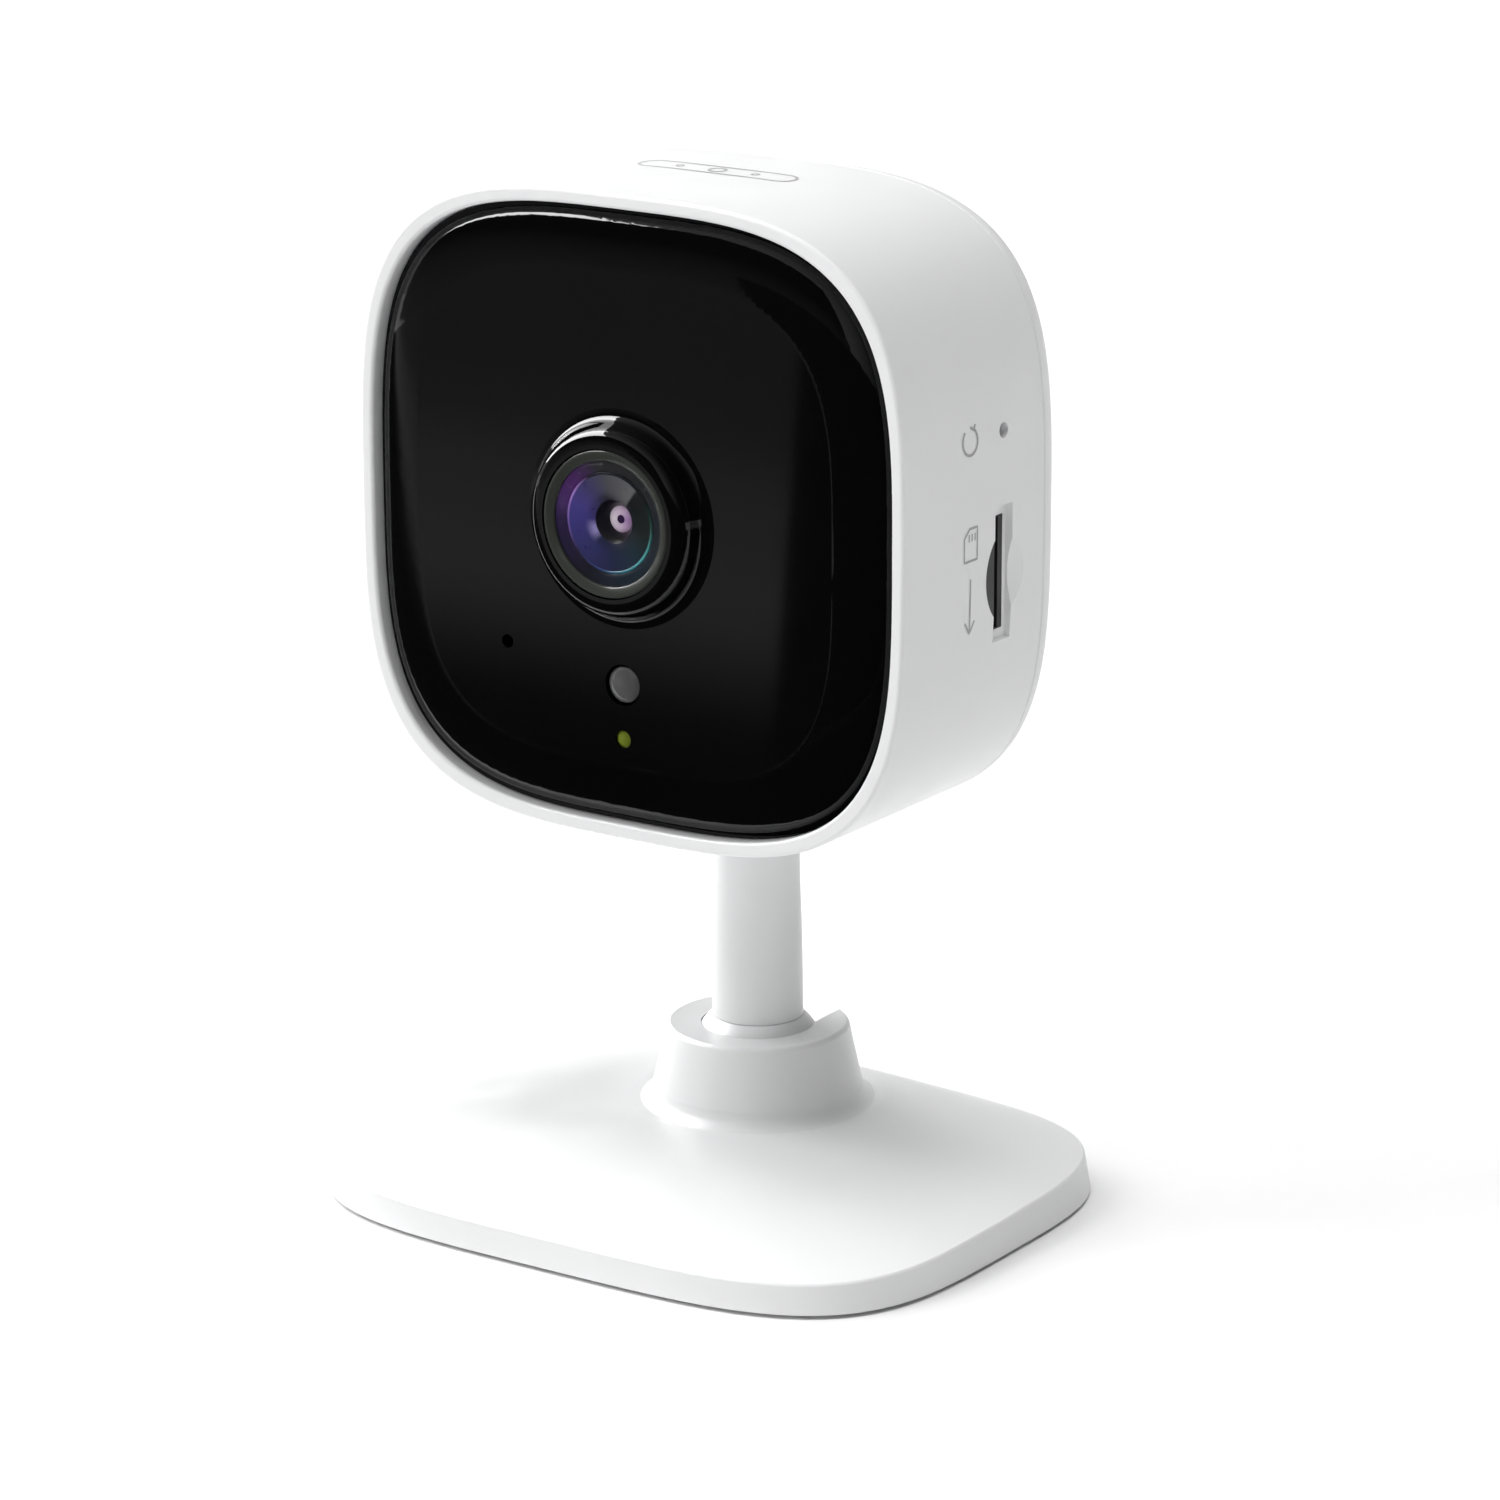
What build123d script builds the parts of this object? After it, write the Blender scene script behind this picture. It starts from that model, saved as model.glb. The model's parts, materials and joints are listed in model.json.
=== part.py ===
from build123d import *
import math
import os

# Small indoor security camera: a squircle head on a short stem, which stands in a ball socket in a low base.
# Millimetres. Origin: centre of the base's footprint, on the table. +X right seen from the front, the lens
# looks along -Y, +Z up. The base's mounting face is -Z.

# ---- driving dimensions: base ----
BASE_HALF_X = 33.8
BASE_HALF_Y = 27.4
BASE_POWER = 3.8
BASE_RIM_LOW = 0.4
BASE_RIM_TOP = 3.55
BASE_TILT = 0.016
BASE_DRAFT = 0.5
BASE_EDGE_R = 0.3
BASE_TOP = 7.0
BASE_WALL = 1.6
BASE_TOP_WALL = 1.2
# way from the rim to the crown's top ring, and height there as a share of the crown's rise
CROWN = ((0.0, 0.0), (0.15, 0.2), (0.35, 0.43), (0.55, 0.65), (0.78, 0.86), (1.0, 1.0))
CROWN_TOP_R = 12.3

STEM_Y = 8.3
BALL_Z = 10.4
BALL_R = 6.8
BALL_GAP = 0.1
COLLAR_TOP = 14.66
COLLAR_MOUTH_R = 5.4
COLLAR_BORE_R = 8.2
COLLAR_TUBE_R = 9.6
COLLAR_FOOT_R = 10.15
COLLAR_LIP_R = 8.95
COLLAR_LIP_ROUND = 0.45
COLLAR_FLARE_R = 1.7
COLLAR_SINK = 0.06
NOTCH_HALF = 4.75
PAD_T = 0.7
COVER_T = 1.1
COVER_GAP = 0.5
BALLAST_T = 1.2
BALLAST_HALF_X = 24.2
BALLAST_HALF_Y = 18.8
KEYHOLE_X = 17.0
KEYHOLE_Y = -12.0
KEYHOLE_R = 4.2
KEYHOLE_NECK_R = 2.1
KEYHOLE_NECK_RUN = 8.0
BASE_SCREWS_X = 25.0
BASE_SCREWS_Y = 9.0
BASE_SCREW_END = 3.9
RETAINER_Z = 2.0
RETAINER_T = 1.0
RETAINER_R = 13.7
RETAINER_SCREW_RING = 11.6
RETAINER_BOSS_R = 2.25

# ---- driving dimensions: stem ----
STEM_LOW_R = 4.43
STEM_TOP_R = 4.1
STEM_START = 15.55
STEM_TAPER_END = 31.0
STEM_END = 48.0
SWIVEL_SHANK_R = 1.5

# ---- driving dimensions: head ----
HEAD_HALF = 30.3
HEAD_POWER = 3.46
HEAD_Z = 68.65
HEAD_FRONT = -13.36
SEAM_Y = 10.67
HEAD_BACK = 14.5
BACK_EDGE_R = 3.6
COVER_SEAT_Y = 11.0
WALL = 2.0
PANEL_HALF = 28.95
RIM_EDGE_R = 0.35
SEAM_CHAMFER = 0.15
PANEL_SEAT_Y = -10.6
PANEL_FRONT = -13.8
PANEL_GAP = 0.1
FLANGE_FRONT = -11.86
ROLL_HALF = 28.4
ROLL_RUN = 5.4
ROLL_STEPS = 7
LENS_Z = 69.1
HUMP_FOOT_R = 10.3
HUMP_WAIST_R = 9.1
HUMP_WAIST = 14.7
HUMP_BROW_R = 7.4
HUMP_TOP = 16.47
BOARD_FRONT = 1.0
BOARD_T = 1.6
BOARD_HALF = 25.5
POST = 19.8
POST_R = 2.4

# ---- driving dimensions: controls on the head ----
CARD_Y = 3.6
CARD_Z = 64.6
CARD_HALF_Y = 1.6
CARD_HALF_Z = 6.5
CARD_POCKET_DEPTH = 0.7
CARD_SLOT_FRONT = 2.1
CARD_SLOT_BACK = 4.45
CARD_SLOT_HALF = 5.35
BEZEL_FACE = 1.3
BEZEL_BACK = 27.7
SCOOP_Y = 3.4
SCOOP_Z = 64.35
SCOOP_R = 11.7
SCOOP_DEPTH = 0.6
NOTCH_Y = 5.7
NOTCH_R = 5.1
RESET_Y = 3.64
RESET_Z = 77.9
RESET_HOLE_R = 0.75
SENSOR_Z = 53.35
SENSOR_R = 1.7
LED_Z = 48.15
LED_R = 0.84
MIC_X = -13.1
MIC_Z = 55.65
MIC_HOLE_R = 0.65
SPEAKER_Z = 81.0
SPEAKER_R = 10.0
SPEAKER_FRONT = 11.6
USB_Z = 58.0

FIT = 0.02
OUTLINE_STEPS = 40

board_back = BOARD_FRONT + BOARD_T
cover_top = PAD_T + COVER_T
lens_place = Pos(0, 0, LENS_Z) * Rot(90, 0, 0)


# ---- shapes that repeat ----
def squircle(half_u, half_v, power):
    """Points on |u/a|^n + |v/b|^n = 1, evenly spread by angle."""
    points = []
    for step in range(OUTLINE_STEPS):
        angle = 2 * math.pi * step / OUTLINE_STEPS
        u = math.cos(angle)
        v = math.sin(angle)
        reach = (abs(u / half_u) ** power + abs(v / half_v) ** power) ** (-1 / power)
        points.append((u * reach, v * reach))
    return points


def base_ring(half_x, half_y, z, shift_y=0.0, tilt=0.0, power=BASE_POWER):
    points = [(u, v + shift_y, z + tilt * v) for u, v in squircle(half_x, half_y, power)]
    return Wire([Edge.make_spline(points, periodic=True)])


def head_ring(half, y):
    points = [(u, y, HEAD_Z + v) for u, v in squircle(half, half, HEAD_POWER)]
    return Wire([Edge.make_spline(points, periodic=True)])


def base_plate(half_x, half_y, z_low, z_high):
    return Solid.extrude(Face(base_ring(half_x, half_y, z_low)), Vector(0, 0, z_high - z_low))


def head_plate(half, y_front, y_back):
    return Solid.extrude(Face(head_ring(half, y_front)), Vector(0, y_back - y_front, 0))


def turned(profile):
    """Solid of revolution about Z from (radius, height) points."""
    outline = Polyline([(r, 0, z) for r, z in profile], close=True)
    return revolve(make_face(outline), Axis.Z, 360)


def block(x0, x1, y0, y1, z0, z1):
    """Box between two corners."""
    centre = Pos((x0 + x1) / 2, (y0 + y1) / 2, (z0 + z1) / 2)
    return centre * Box(abs(x1 - x0), abs(y1 - y0), abs(z1 - z0))


def rod_z(x, y, radius, z0, z1):
    return Pos(x, y, (z0 + z1) / 2) * Cylinder(radius, abs(z1 - z0))


def rod_y(x, z, radius, y0, y1):
    return Pos(x, (y0 + y1) / 2, z) * Rot(90, 0, 0) * Cylinder(radius, abs(y1 - y0))


def rod_x(y, z, radius, x0, x1):
    return Pos((x0 + x1) / 2, y, z) * Rot(0, 90, 0) * Cylinder(radius, abs(x1 - x0))


def between(start, end, way):
    return start + (end - start) * way


def outline_edges(body, y):
    """The long edges that run round the head at one depth."""
    return body.edges().filter_by(lambda e: abs(e.center().Y - y) < 0.01 and e.length > 4 * HEAD_HALF)


def joined(pieces):
    """Separate solids of one node, such as a set of equal screws."""
    return Compound(children=list(pieces))


def corners(step):
    return [(x * step, z * step) for x in (-1, 1) for z in (-1, 1)]


# ---- base ----
def crown(half_x, half_y, z_rim, z_top):
    """Low dome whose rings turn from the rim's squircle into a circle round the collar."""
    rings = []
    for way, rise in CROWN:
        ring_x = between(half_x, CROWN_TOP_R, way)
        ring_y = between(half_y, CROWN_TOP_R, way)
        z = between(z_rim, z_top, rise)
        power = between(BASE_POWER, 2.0, way)
        rings.append(base_ring(ring_x, ring_y, z, STEM_Y * way, BASE_TILT * (1 - way), power))
    return Solid.make_loft(rings)


def base_body(inset, drop, z_low):
    """The base's outer form, or its hollow when inset and dropped by the walls."""
    half_x = BASE_HALF_X - inset
    half_y = BASE_HALF_Y - inset
    rim_x = half_x - BASE_DRAFT
    rim_y = half_y - BASE_DRAFT
    rim_z = BASE_RIM_TOP - drop
    rim = base_ring(rim_x, rim_y, rim_z, 0, BASE_TILT)
    wall = Solid.make_loft([base_ring(half_x, half_y, z_low), rim], ruled=True)
    return wall + crown(rim_x, rim_y, rim_z, BASE_TOP - drop)


def collar_outside():
    """Tapered collar with a rounded lip and a flared foot that runs out level with the dome's top."""
    foot_r = COLLAR_FOOT_R + COLLAR_FLARE_R
    foot_z = BASE_TOP - COLLAR_SINK
    wall_z = foot_z + COLLAR_FLARE_R
    lip_z = COLLAR_TOP - COLLAR_LIP_ROUND
    lip_r = COLLAR_LIP_R - COLLAR_LIP_ROUND
    mouth_z = COLLAR_TOP - 0.1
    flare = TangentArc((foot_r, 0, foot_z), (COLLAR_FOOT_R, 0, wall_z), tangent=(-1, 0, 0))
    wall = Line((COLLAR_FOOT_R, 0, wall_z), (COLLAR_LIP_R, 0, lip_z))
    lip = TangentArc((COLLAR_LIP_R, 0, lip_z), (lip_r, 0, COLLAR_TOP), tangent=wall % 1)
    closing = Polyline((lip_r, 0, COLLAR_TOP), (COLLAR_MOUTH_R, 0, mouth_z), (0, 0, mouth_z), (0, 0, BASE_TOP - 1),
                       (foot_r, 0, BASE_TOP - 1), (foot_r, 0, foot_z))
    return Pos(0, STEM_Y, 0) * revolve(make_face(flare + wall + lip + closing), Axis.Z, 360)


def base_outside():
    """Crowned dome with a small round on its rim, and the collar."""
    dome_body = base_body(0, 0, BASE_RIM_LOW)
    rim = dome_body.edges().filter_by(lambda e: e.length > 4 * BASE_HALF_Y and e.center().Z > BASE_RIM_LOW + 1)
    rim = rim.sort_by(Edge.length)[-1:]
    return fillet(rim, BASE_EDGE_R) + collar_outside()


def retainer_screw_places():
    for angle in (30, 150, 270):
        x = RETAINER_SCREW_RING * math.cos(math.radians(angle))
        y = STEM_Y + RETAINER_SCREW_RING * math.sin(math.radians(angle))
        yield x, y


def base_screw_places():
    return [(x * BASE_SCREWS_X, y * BASE_SCREWS_Y) for x in (-1, 1) for y in (-1, 1)]


def make_base_shell():
    outer = base_outside()
    hollow = base_body(BASE_WALL, BASE_TOP_WALL, BASE_RIM_LOW - 0.1)
    tube_low = RETAINER_Z + RETAINER_T
    solid_parts = rod_z(0, STEM_Y, COLLAR_TUBE_R, tube_low, BASE_TOP)
    for x, y in retainer_screw_places():
        solid_parts += rod_z(x, y, RETAINER_BOSS_R, tube_low, BASE_TOP)
    for x, y in base_screw_places():
        solid_parts += rod_z(x, y, 2.4, cover_top, BASE_RIM_TOP + 1.2)
    shell = outer - (hollow - solid_parts)
    shell -= rod_z(0, STEM_Y, COLLAR_BORE_R, 0, BALL_Z - 0.4)
    shell -= Pos(0, STEM_Y, BALL_Z) * Sphere(BALL_R + BALL_GAP)
    shell -= rod_z(0, STEM_Y, COLLAR_MOUTH_R, BALL_Z, COLLAR_TOP + 1)
    run_end = BASE_HALF_Y + 5
    shell -= rod_y(0, BALL_Z, NOTCH_HALF, STEM_Y, run_end)
    shell -= block(-NOTCH_HALF, NOTCH_HALF, STEM_Y, run_end, BALL_Z, COLLAR_TOP + 1)
    for x, y in retainer_screw_places():
        shell -= rod_z(x, y, 0.8, tube_low, 5.6)
    for x, y in base_screw_places():
        shell -= rod_z(x, y, 1.0, cover_top, BASE_SCREW_END + 0.1)
    return shell


def keyhole(side, grow, z_low, z_high):
    """Cutter for one wall keyhole: a round entry with a neck that runs towards +Y."""
    x = side * KEYHOLE_X
    neck_end = KEYHOLE_Y + KEYHOLE_NECK_RUN
    neck_half = KEYHOLE_NECK_R + grow
    cutter = rod_z(x, KEYHOLE_Y, KEYHOLE_R + grow, z_low, z_high)
    cutter += block(x - neck_half, x + neck_half, KEYHOLE_Y, neck_end, z_low, z_high)
    return cutter + rod_z(x, neck_end, neck_half, z_low, z_high)


def keyhole_window(side, margin, z_low, z_high):
    """Cutter for the clear room round a keyhole."""
    x = side * KEYHOLE_X
    reach = KEYHOLE_R + margin
    y_high = KEYHOLE_Y + KEYHOLE_NECK_RUN + KEYHOLE_NECK_R + margin
    return block(x - reach, x + reach, KEYHOLE_Y - reach, y_high, z_low, z_high)


def make_base_bottom_cover():
    inset = BASE_WALL + COVER_GAP
    cover = base_plate(BASE_HALF_X - inset, BASE_HALF_Y - inset, PAD_T, cover_top)
    for side in (-1, 1):
        cover -= keyhole(side, 0, 0, cover_top + 1)
    for x, y in base_screw_places():
        cover -= rod_z(x, y, 1.0 + FIT, 0, cover_top + 1)
        cover -= rod_z(x, y, 1.9 + FIT, 0, PAD_T + 0.5)
    return cover


def make_foot_pad():
    pad = base_plate(BASE_HALF_X - 3.2, BASE_HALF_Y - 3.2, 0, PAD_T)
    for side in (-1, 1):
        pad -= keyhole_window(side, 0.8, -1, PAD_T + 1)
    return pad


def make_base_screws():
    screws = []
    for x, y in base_screw_places():
        shank = rod_z(x, y, 1.0 - FIT, PAD_T, BASE_SCREW_END)
        head = rod_z(x, y, 1.9, PAD_T + FIT, PAD_T + 0.5)
        slot = block(x - 1.2, x + 1.2, y - 0.2, y + 0.2, PAD_T - 0.1, PAD_T + 0.25)
        cross = block(x - 0.2, x + 0.2, y - 1.2, y + 1.2, PAD_T - 0.1, PAD_T + 0.25)
        screws.append(shank + head - slot - cross)
    return joined(screws)


def make_ballast_plate():
    plate = base_plate(BALLAST_HALF_X, BALLAST_HALF_Y, cover_top, cover_top + BALLAST_T)
    plate -= rod_z(0, STEM_Y, RETAINER_R + 0.5, 0, 6)
    for side in (-1, 1):
        plate -= keyhole_window(side, 0.9, 0, 6)
    for x, y in base_screw_places():
        plate -= rod_z(x, y, 2.8, 0, 6)
    return plate


def make_socket_cup():
    """Nylon cup that carries the ball from below."""
    cup = turned([(0, 4.1), (7.4, 4.1), (8.1, 4.8), (8.1, 9.9), (0, 9.9)])
    cup -= Pos(0, 0, BALL_Z) * Sphere(BALL_R + BALL_GAP)
    cup -= rod_y(0, BALL_Z, NOTCH_HALF + 0.1, 0, 12)
    return Pos(0, STEM_Y, 0) * cup


def make_socket_spring():
    """Conical disc spring under the cup."""
    ring = turned([(4.6, 3.72), (7.2, 3.02), (7.2, 3.38), (4.6, 4.08)])
    return Pos(0, STEM_Y, 0) * ring


def make_socket_retainer():
    low = RETAINER_Z
    high = RETAINER_Z + RETAINER_T
    disc = turned([(3.4, low), (RETAINER_R, low), (RETAINER_R, high), (3.4, high)])
    disc = Pos(0, STEM_Y, 0) * disc
    for x, y in retainer_screw_places():
        disc -= rod_z(x, y, 0.8 + FIT, 0, 6)
        disc -= rod_z(x, y, 1.5 + FIT, 0, low + 0.6)
    return disc


def make_socket_screws():
    screws = []
    for x, y in retainer_screw_places():
        shank = rod_z(x, y, 0.8 - FIT, RETAINER_Z, 5.5)
        head = rod_z(x, y, 1.5, RETAINER_Z + FIT, RETAINER_Z + 0.6)
        slot = block(x - 1.0, x + 1.0, y - 0.2, y + 0.2, RETAINER_Z - 0.1, RETAINER_Z + 0.25)
        screws.append(shank + head - slot)
    return joined(screws)


# ---- ball and stem ----
def make_pivot_ball():
    ball = Pos(0, 0, BALL_Z) * Sphere(BALL_R)
    ball -= rod_z(0, 0, 8, STEM_START - 0.05, 20)
    ball -= rod_z(0, 0, SWIVEL_SHANK_R + 0.06, 0, 20)
    ball -= rod_z(0, 0, 2.7, 0, 8.0)
    return Pos(0, STEM_Y, 0) * ball


def make_swivel_washer():
    ring = turned([(1.6, 7.55), (2.6, 7.55), (2.6, 8.0), (1.6, 8.0)])
    return Pos(0, STEM_Y, 0) * ring


def make_swivel_screw():
    screw = turned([(0, 5.6), (2.1, 5.6), (2.35, 5.9), (2.35, 7.5), (1.5, 7.5), (1.5, 30.0), (0, 30.0)])
    screw -= block(-1.6, 1.6, -0.25, 0.25, 5.5, 6.3)
    screw -= block(-0.25, 0.25, -1.6, 1.6, 5.5, 6.3)
    return Pos(0, STEM_Y, 0) * screw


def make_stem():
    """Tapered post with a clamp groove near its top."""
    low = (STEM_LOW_R, 0, STEM_START)
    narrow = (STEM_TOP_R, 0, STEM_TAPER_END)
    taper = Spline([low, (4.38, 0, 20.0), (4.27, 0, 25.0), narrow], tangents=[(0, 0, 1), (0, 0, 1)])
    rest = [(STEM_TOP_R, STEM_TAPER_END), (STEM_TOP_R, 41.4), (3.0, 41.4), (3.0, 44.6), (STEM_TOP_R, 44.6)]
    rest += [(STEM_TOP_R, 47.5), (3.6, STEM_END), (0, STEM_END), (0, STEM_START), (STEM_LOW_R, STEM_START)]
    outline = taper + Polyline([(r, 0, z) for r, z in rest])
    stem = revolve(make_face(outline), Axis.Z, 360)
    stem -= rod_z(0, 0, SWIVEL_SHANK_R + FIT, STEM_START - 1, 31.0)
    return Pos(0, STEM_Y, 0) * stem


def make_stem_clamp():
    """Plate with a slot that grips the stem's groove."""
    plate = block(-13, 13, 3.1, 12.2, 41.6, 44.4)
    plate -= rod_z(0, STEM_Y, 3.0 + FIT, 40, 46)
    plate -= block(-3.0 - FIT, 3.0 + FIT, STEM_Y, 13, 40, 46)
    for x in (-9.5, 9.5):
        plate -= rod_z(x, 7.6, 1.0 + FIT, 40, 46)
    return plate


def make_stem_clamp_screws():
    screws = []
    for x in (-9.5, 9.5):
        screw = rod_z(x, 7.6, 1.0 - FIT, 39.4, 44.5) + rod_z(x, 7.6, 1.9, 44.4, 45.6)
        screws.append(screw - block(x - 1.2, x + 1.2, 7.4, 7.8, 45.2, 46))
    return joined(screws)


# ---- head: shells ----
def post_rib(x, z, y0, y1):
    """Round post with a rib that ties it to the shell's corner."""
    out_x = math.copysign(3.2, x)
    out_z = math.copysign(3.2, z)
    post = rod_y(x, HEAD_Z + z, POST_R, y0, y1)
    return post + block(x, x + out_x, y0, y1, HEAD_Z + z, HEAD_Z + z + out_z)


def card_pocket():
    """Cutter: shallow tapered pocket in the +X side and a round thumb scoop."""
    def pocket_ring(x, grow):
        y0 = CARD_Y - CARD_HALF_Y - grow
        y1 = CARD_Y + CARD_HALF_Y + grow
        z0 = CARD_Z - CARD_HALF_Z - grow
        z1 = CARD_Z + CARD_HALF_Z + grow
        return Wire(Polyline([(x, y0, z0), (x, y1, z0), (x, y1, z1), (x, y0, z1)], close=True).edges())

    floor = pocket_ring(HEAD_HALF - CARD_POCKET_DEPTH, -0.25)
    pocket = Solid.make_loft([floor, pocket_ring(HEAD_HALF + 1, 0.1)], ruled=True)
    scoop = Pos(HEAD_HALF - SCOOP_DEPTH + SCOOP_R, SCOOP_Y, SCOOP_Z) * Sphere(SCOOP_R)
    scoop &= block(HEAD_HALF - 2, HEAD_HALF + 1, CARD_Y - 0.6, SCOOP_Y + 5, SCOOP_Z - 5, SCOOP_Z + 5)
    return pocket + scoop


def card_window(shrink, x0, x1):
    """The slot through the wall, with a finger notch in its front edge."""
    half_z = CARD_SLOT_HALF - shrink
    back = CARD_SLOT_BACK - shrink
    slot = block(x0, x1, CARD_SLOT_FRONT + shrink, back, CARD_Z - half_z, CARD_Z + half_z)
    notch = rod_x(NOTCH_Y, SCOOP_Z, NOTCH_R - shrink, x0, x1)
    return slot + (notch & block(x0, x1, 0, back, CARD_Z - 8, CARD_Z + 8))


def bezel_block(grow, x0, x1):
    return block(x0, x1, 0.4 - grow, 5.0 + grow, CARD_Z - 5.9 - grow, CARD_Z + 5.9 + grow)


def make_head_shell():
    shell = head_plate(HEAD_HALF, HEAD_FRONT, SEAM_Y)
    shell -= head_plate(PANEL_HALF, HEAD_FRONT - 1, PANEL_SEAT_Y)
    shell = fillet(outline_edges(shell, HEAD_FRONT), RIM_EDGE_R)
    shell = chamfer(outline_edges(shell, SEAM_Y), SEAM_CHAMFER)
    shell -= head_plate(26.8, PANEL_SEAT_Y - 1, -9.0)
    shell -= head_plate(HEAD_HALF - WALL, -9.2, SEAM_Y + 1)
    inside = head_plate(HEAD_HALF - WALL + 0.5, -9.5, SEAM_Y)
    for x, z in corners(POST):
        post = post_rib(x, z, -9.2, BOARD_FRONT) & inside
        shell += post
        shell -= rod_y(x, HEAD_Z + z, 0.9, -4, BOARD_FRONT + 1)
    for x in (-9.5, 9.5):
        shell += rod_z(x, 7.6, 2.2, 40, 41.6)
        shell -= rod_z(x, 7.6, 1.0, 39.3, 42)
    shell -= rod_z(0, STEM_Y, STEM_TOP_R + 0.05, 35, 41)
    shell -= rod_x(RESET_Y, RESET_Z, RESET_HOLE_R, 27, 32)
    shell -= bezel_block(FIT, 27, HEAD_HALF - BEZEL_FACE)
    return shell - card_pocket() - card_window(0, HEAD_HALF - 4, HEAD_HALF + 1)


def speaker_grille_places():
    """Hexagon of nineteen small holes."""
    pitch = 3.2
    for row in range(-2, 3):
        count = 5 - abs(row)
        for place in range(count):
            x = (place - (count - 1) / 2) * pitch
            yield x, SPEAKER_Z + row * pitch * math.sqrt(3) / 2


def make_rear_cover():
    cover = head_plate(HEAD_HALF, SEAM_Y, HEAD_BACK)
    cover = fillet(outline_edges(cover, HEAD_BACK), BACK_EDGE_R)
    cover = chamfer(outline_edges(cover, SEAM_Y), SEAM_CHAMFER)
    cover -= head_plate(HEAD_HALF - WALL - 0.2, SEAM_Y - 1, HEAD_BACK - WALL)
    lip = head_plate(HEAD_HALF - WALL - 0.1, SEAM_Y - 1.5, SEAM_Y)
    lip_hollow = head_plate(HEAD_HALF - WALL - 1.2, SEAM_Y - 2, HEAD_BACK - WALL)
    ledge = head_plate(HEAD_HALF - WALL + 0.4, SEAM_Y, SEAM_Y + 0.8)
    cover += (lip + ledge) - lip_hollow
    for x, z in ((-POST, POST), (POST, -POST)):
        cover += rod_y(x, HEAD_Z + z, 2.6, board_back, HEAD_BACK - 0.6)
        cover -= rod_y(x, HEAD_Z + z, 1.0, board_back - 1, HEAD_BACK + 1)
        cover -= rod_y(x, HEAD_Z + z, 1.9, COVER_SEAT_Y, HEAD_BACK + 1)
    for x, z in speaker_grille_places():
        cover -= rod_y(x, z, 0.75, 11, 16)
    cover -= block(-4.1, 4.1, 11, 16, USB_Z - 1.75, USB_Z + 1.75)
    cover -= block(-6.2, 6.2, HEAD_BACK - 1.0, 16, USB_Z - 4.0, USB_Z + 4.0)
    cover -= rod_z(0, STEM_Y, STEM_TOP_R + 0.05, 35, 41)
    cover -= block(-13.2, 13.2, 5, SEAM_Y + 0.9, 39.0, 48.2)
    return cover


def cover_screw(x, z):
    shank = rod_y(x, z, 0.88, -3.5, 11.2)
    head = rod_y(x, z, 1.8, COVER_SEAT_Y + FIT, 12.4)
    slot = block(x - 1.2, x + 1.2, 11.9, 13, z - 0.2, z + 0.2)
    cross = block(x - 0.2, x + 0.2, 11.9, 13, z - 1.2, z + 1.2)
    return shank + head - slot - cross


def make_cover_screws():
    return joined(cover_screw(x, HEAD_Z + z) for x, z in ((-POST, POST), (POST, -POST)))


def rolled_edge():
    """Panel's body: rings on a quarter ellipse from the flange to the flat front."""
    rings = []
    for step in range(ROLL_STEPS + 1):
        angle = math.radians(90 * step / ROLL_STEPS)
        half = ROLL_HALF + (ROLL_RUN * (math.cos(angle) - 1))
        y = between(FLANGE_FRONT, PANEL_FRONT, math.sin(angle))
        rings.append(head_ring(half, y))
    return Solid.make_loft(rings)


def hump():
    """Rounded mound round the lens, hollowed roughly to a constant wall."""
    foot = (HUMP_FOOT_R, 0, -PANEL_FRONT)
    waist = (HUMP_WAIST_R, 0, HUMP_WAIST)
    brow = (HUMP_BROW_R, 0, HUMP_TOP)
    steep = (-0.35, 0, 1)
    fillet_line = Spline([foot, waist], tangents=[(-1, 0, 0), steep])
    shoulder = Spline([waist, brow], tangents=[steep, (-1, 0, 0)])
    closing = Polyline(brow, (0, 0, HUMP_TOP), (0, 0, 11.5), (HUMP_FOOT_R, 0, 11.5), foot)
    return lens_place * revolve(make_face(fillet_line + shoulder + closing), Axis.Z, 360)


def make_front_panel():
    """Dark window: base flange, rolled edge, flat front and the hump round the lens."""
    flange_back = PANEL_SEAT_Y - 0.3
    panel = head_plate(PANEL_HALF - PANEL_GAP, FLANGE_FRONT, flange_back) + rolled_edge() + hump()
    panel -= head_plate(25.6, -12.2, flange_back + 1)
    panel -= rod_y(0, LENS_Z, 7.0, -20, 0)
    panel -= rod_y(0, SENSOR_Z, SENSOR_R + 0.25, -20, 0)
    panel -= rod_y(0, LED_Z, LED_R + FIT, -20, 0)
    return panel - rod_y(MIC_X, MIC_Z, MIC_HOLE_R, -20, 0)


def make_panel_gasket():
    return head_plate(28.4, PANEL_SEAT_Y - 0.3, PANEL_SEAT_Y) - head_plate(27.0, -12, -9)


# ---- head: optics ----
def make_lens_ring():
    profile = [(5.85, 14.3), (6.95, 14.3), (6.95, 16.2), (6.75, 16.45), (6.4, 16.5), (5.85, 16.1)]
    return lens_place * turned(profile)


def dome(radius, edge, apex, back):
    """Glass with a convex front: radius, front height at its edge and middle, height of its flat back."""
    rise = apex - edge
    curve_r = (radius**2 + rise**2) / (2 * rise)
    ball = Pos(0, 0, apex - curve_r) * Sphere(curve_r)
    return (rod_z(0, 0, radius, back, apex) & ball).solids()[0]


def make_lens_front_element():
    return lens_place * dome(5.8, 15.95, 17.1, 14.4)


def make_lens_barrel():
    """Stepped tube that screws into the holder."""
    profile = [(4.6, 14.25), (6.9, 14.25), (6.9, 12.6), (6.0, 12.4), (6.0, 3.3), (3.4, 3.3), (3.4, 7.0)]
    profile += [(4.2, 7.0), (4.2, 10.4), (4.6, 10.4)]
    return lens_place * turned(profile)


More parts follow.
